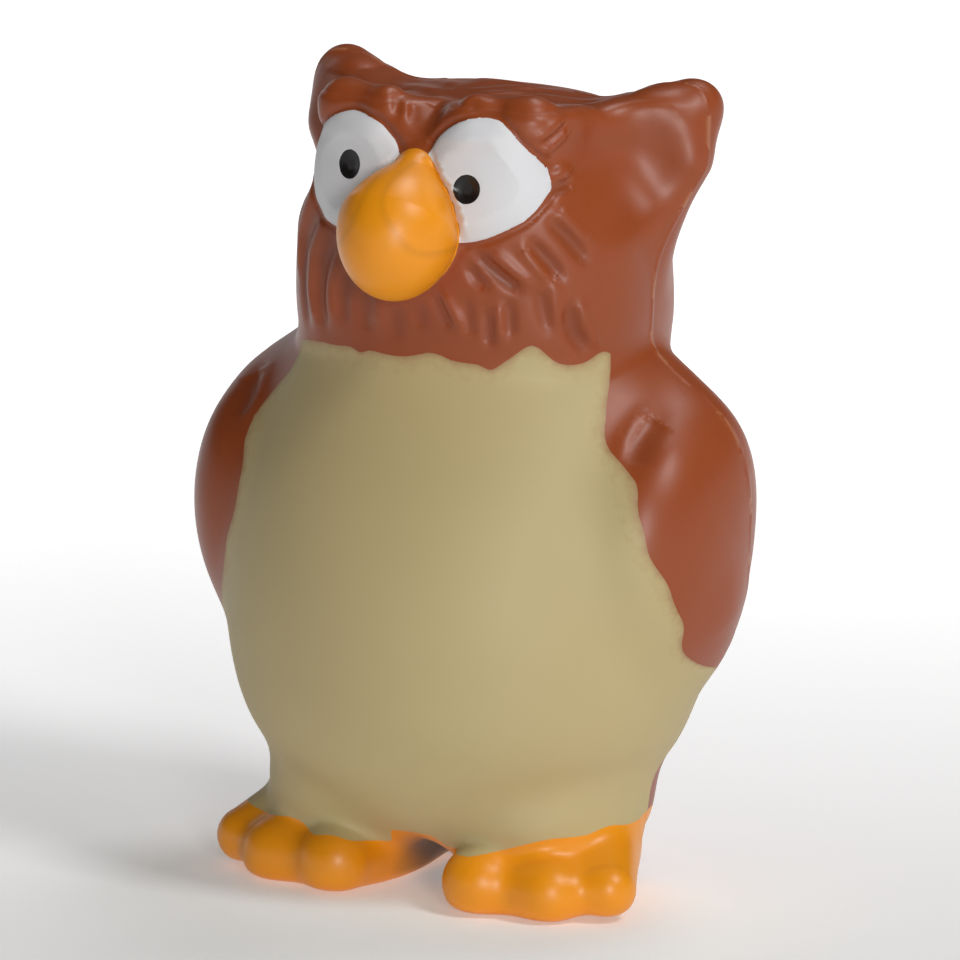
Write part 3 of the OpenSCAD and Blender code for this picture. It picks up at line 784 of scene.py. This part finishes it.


# The darker twins of these colours are painted shade, for grooves and recesses.
BROWN = linear(150, 70, 30)
BROWN_SHADE = linear(96, 44, 22)
BROWN_MIST = linear(150, 96, 62)
TAN = linear(190, 172, 124)
TAN_SHADE = linear(96, 76, 48)
ORANGE = linear(240, 150, 14)
ORANGE_SHADE = linear(60, 30, 12)
SCUFF = linear(196, 142, 106)
SLOTS = {
    "foam": paint("foam", linear(214, 204, 172), 0.8),
    "brown_paint": paint("brown_paint", BROWN, 0.4, shade_colour=BROWN_SHADE, scuffed=SCUFF, pits=0.03),
    "tan_paint": paint("tan_paint", TAN, 0.55, drifted=BROWN_MIST, shade_colour=TAN_SHADE, scuffed=SCUFF,
                       pits=0.04, mottle=0.03),
    "orange_paint": paint("orange_paint", ORANGE, 0.38, shade_colour=ORANGE_SHADE, scuffed=SCUFF,
                          pits=0.02, mottle=0.05),
    "white_paint": paint("white_paint", linear(222, 222, 224), 0.5, mottle=0.015),
    "black_paint": paint("black_paint", linear(20, 15, 15), 0.3, mottle=0.1),
}
SLOT_OF = {
    "foam_core": "foam", "belly_skin": "tan_paint", "beak_skin": "orange_paint",
    "left_foot_skin": "orange_paint", "right_foot_skin": "orange_paint",
    "left_eye_patch": "white_paint", "right_eye_patch": "white_paint",
    "left_pupil": "black_paint", "right_pupil": "black_paint",
}

# ---------------------------------------------------------------- pieces


def make_piece(node, v, t, corner_normals, attributes):
    """One shown piece that stands for one node."""
    mesh = bpy.data.meshes.new(node + "_look")
    mesh.vertices.add(len(v))
    mesh.vertices.foreach_set("co", ((v + SHIFT) / MM_PER_M).astype(np.float32).ravel())
    mesh.loops.add(len(t) * 3)
    mesh.loops.foreach_set("vertex_index", t.astype(np.int32).ravel())
    mesh.polygons.add(len(t))
    mesh.polygons.foreach_set("loop_start", np.arange(0, len(t) * 3, 3, dtype=np.int32))
    mesh.update(calc_edges=True)
    mesh.validate()
    mesh.polygons.foreach_set("use_smooth", np.ones(len(mesh.polygons), bool))
    for key, value in attributes.items():
        mesh.attributes.new(key, "FLOAT", "POINT").data.foreach_set("value", value.astype(np.float32))
    if len(mesh.loops) == len(corner_normals):
        mesh.normals_split_custom_set(corner_normals)
    slot = SLOT_OF.get(node, "brown_paint")
    mesh.materials.append(SLOTS[slot])
    o = bpy.data.objects.new(node + "_look", mesh)
    bpy.context.scene.collection.objects.link(o)
    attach(o, "root")
    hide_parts(node)


def shell(index, name):
    """The closed shell of one zone: its outside, its inside, and a wall round its edge."""
    t = tris[zone == index]
    used, t = np.unique(t, return_inverse=True)
    t = t.reshape(-1, 3)
    n = len(used)
    e = np.stack([t, np.roll(t, -1, 1)], -1).reshape(-1, 2)
    _, first, count = np.unique(np.sort(e, 1), axis=0, return_index=True, return_counts=True)
    rim = e[first[count == 1]]
    a, b = rim.T
    v = np.concatenate([verts[used], inner[used]])
    wall = np.concatenate([np.stack([b, a, a + n], 1), np.stack([b, a + n, b + n], 1)])
    every = np.concatenate([t, t[:, ::-1] + n, wall])
    flat = unit(np.cross(v[wall[:, 1]] - v[wall[:, 0]], v[wall[:, 2]] - v[wall[:, 0]]))
    both = np.concatenate([normals[used], -inner_normals[used]])
    corner = np.concatenate([both[t], both[t[:, ::-1] + n], np.repeat(flat[:, None], 3, 1)]).reshape(-1, 3)
    data = {"painted_shade": painted_shade, "seam": seam}
    if name == "belly_skin":
        data["drift"] = BELLY_DRIFT
    data = {key: np.concatenate([x[used], np.zeros(n)]) for key, x in data.items()}
    make_piece(name, v, every, corner, data)


for index, name in enumerate(names):
    shell(index, name)


def core_field(p):
    return outside(p) + SKIN + CORE_GAP


v, t = surface_net(core_field, LOW, HIGH, CORE_STEP)
v = settle(core_field, v, turns=2)
make_piece("foam_core", v, t, unit(gradient(core_field, v, 0.2))[t].reshape(-1, 3), {})

# ---------------------------------------------------------------- stage, light and camera


FLOOR_RADIUS = 4.0
bpy.ops.mesh.primitive_circle_add(vertices=64, radius=FLOOR_RADIUS, fill_type="NGON", location=(0, 0, 0))
floor = bpy.context.object
floor.name = "floor"
floor_paint = bpy.data.materials.new("floor")
floor_paint.use_nodes = True
floor.data.materials.append(floor_paint)
glow = floor_paint.node_tree
floor_shader = glow.nodes["Principled BSDF"]
floor_shader.inputs["Base Color"].default_value = (0.80, 0.80, 0.80, 1)
floor_shader.inputs["Roughness"].default_value = 0.9
floor_shader.inputs["Specular IOR Level"].default_value = 0.1
spot = glow.nodes.new("ShaderNodeTexCoord")


def painted_glow_pool(middle, near, far, inside, beyond):
    """Glow of the floor, a painted pool of light: inside as far as near, changing to beyond by far from
    the middle.
    """
    away = glow.nodes.new("ShaderNodeVectorMath")
    away.operation = "DISTANCE"
    away.inputs[1].default_value = middle
    glow.links.new(spot.outputs["Object"], away.inputs[0])
    n = glow.nodes.new("ShaderNodeMapRange")
    n.interpolation_type = "SMOOTHSTEP"
    glow.links.new(away.outputs["Value"], n.inputs["Value"])
    for key, value in (("From Min", near), ("From Max", far), ("To Min", inside), ("To Max", beyond)):
        n.inputs[key].default_value = value
    return n.outputs["Result"]


# painted light: the floor glows, dimly round the toy and brightly in a pool behind it
brightest = glow.nodes.new("ShaderNodeMath")
brightest.operation = "MAXIMUM"
glow.links.new(painted_glow_pool((0, 0, 0), 0.2, 0.6, 0.12, 0.2), brightest.inputs[0])
glow.links.new(painted_glow_pool((-0.28, 0.5, 0), 0.25, 0.7, 0.8, 0.14), brightest.inputs[1])
floor_shader.inputs["Emission Color"].default_value = (1, 1, 1, 1)
glow.links.new(brightest.outputs[0], floor_shader.inputs["Emission Strength"])


AIM = Vector((0, SHIFT[1] / MM_PER_M, 0.045))     # the middle of the toy


def area(name, place, width, height, power):
    """A soft light of that width and height that faces the toy."""
    data = bpy.data.lights.new(name, "AREA")
    data.shape, data.size, data.size_y, data.energy = "RECTANGLE", width, height, power
    o = bpy.data.objects.new(name, data)
    o.location = place
    o.rotation_euler = (AIM - Vector(place)).to_track_quat("-Z", "Y").to_euler()
    bpy.context.scene.collection.objects.link(o)


area("front", (0.66, -0.84, 0.26), 0.18, 0.30, 4.0)
area("right", (0.74, -0.16, 0.86), 0.26, 0.34, 4.6)
area("top", (0.10, 0.45, 1.10), 0.4, 0.4, 3.4)
area("rim", (-0.75, 0.55, 0.35), 0.25, 0.25, 0.2)

world = bpy.data.worlds.new("studio")
bpy.context.scene.world = world
world.use_nodes = True
wn, wl = world.node_tree.nodes, world.node_tree.links
sky = wn["Background"]
coord = wn.new("ShaderNodeTexCoord")
height = wn.new("ShaderNodeSeparateXYZ")
ramp = wn.new("ShaderNodeValToRGB")
wl.new(coord.outputs["Generated"], height.inputs[0])
wl.new(height.outputs["Z"], ramp.inputs[0])
wl.new(ramp.outputs["Color"], sky.inputs["Color"])
# a bright band round the horizon, and a dim sky above it
for stop, (position, grey) in zip(ramp.color_ramp.elements, ((0.07, 0.90), (0.16, 0.03))):
    stop.position, stop.color = position, (grey, grey, grey, 1)
sky.inputs["Strength"].default_value = 1.0

AZIMUTH, ELEVATION, ROLL = 27.7, 12.0, 1.0      # degrees, from straight in front of the toy
DISTANCE, SENSOR, LENS = 0.9, 36.0, 303.5       # metres, then millimetres
camera = bpy.data.cameras.new("camera")
eye = bpy.data.objects.new("camera", camera)
bpy.context.scene.collection.objects.link(eye)
az, el = math.radians(AZIMUTH), math.radians(ELEVATION)
forward = Vector((-math.sin(az) * math.cos(el), math.cos(az) * math.cos(el), -math.sin(el)))
eye.location = AIM - forward * DISTANCE
turn = forward.to_track_quat("-Z", "Y").to_matrix() @ Matrix.Rotation(math.radians(ROLL), 3, "Z")
eye.rotation_euler = turn.to_euler()
camera.sensor_width, camera.lens = SENSOR, LENS
camera.shift_x, camera.shift_y = -0.0027, -0.0041
camera.clip_start, camera.clip_end = 0.05, 20.0
bpy.context.scene.camera = eye
bpy.context.scene.view_settings.view_transform = "Standard"
